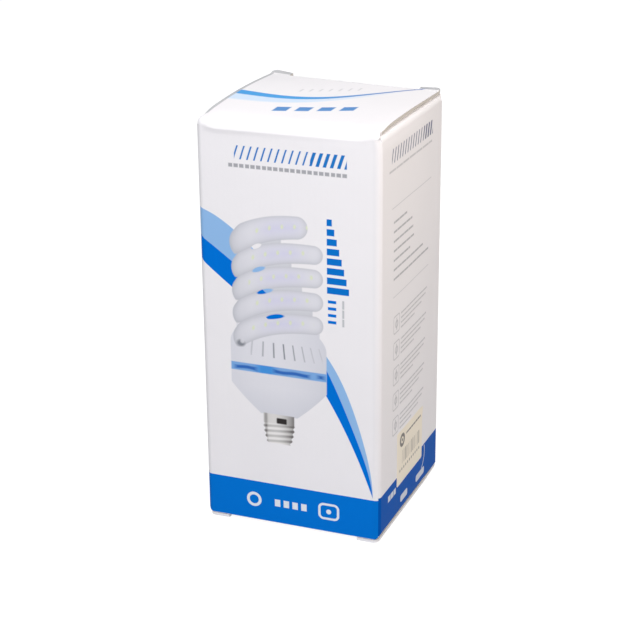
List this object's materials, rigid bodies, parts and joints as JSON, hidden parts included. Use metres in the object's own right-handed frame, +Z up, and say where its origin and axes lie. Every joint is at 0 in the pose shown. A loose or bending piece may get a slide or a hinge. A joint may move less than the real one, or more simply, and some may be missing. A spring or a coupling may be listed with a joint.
{
  "type": "printed lamp carton",
  "caption": "Upright square folding carton for a lamp, printed white with blue bands, shut at each end by a tuck-in lid over two dust flaps.",
  "frame": {"origin": "centre of the base, on the surface that the carton stands on", "axes": "+Z up along the carton, front panel facing -Y, right panel with the sticker facing +X"},
  "size_m": [0.0921, 0.092, 0.206],
  "materials": {
    "printed_board": "white coated liner, satin, printed blue",
    "sticker_paper": "uncoated cream paper"
  },
  "bodies": {
    "box": {"carton": "printed_board", "side_sticker": "sticker_paper"},
    "top": {"top_lid": "printed_board"},
    "bottom": {"bottom_lid": "printed_board"}
  },
  "joints": [
    {"name": "top_lid_hinge", "type": "hinge", "parent": "box", "child": "top", "pos_m": [0, -0.04533, 0.20533], "axis": [1, 0, 0], "range_deg": [0, 175]},
    {"name": "bottom_lid_hinge", "type": "hinge", "parent": "box", "child": "bottom", "pos_m": [0, 0.04533, 0.00067], "axis": [1, 0, 0], "range_deg": [0, 175]}
  ]
}
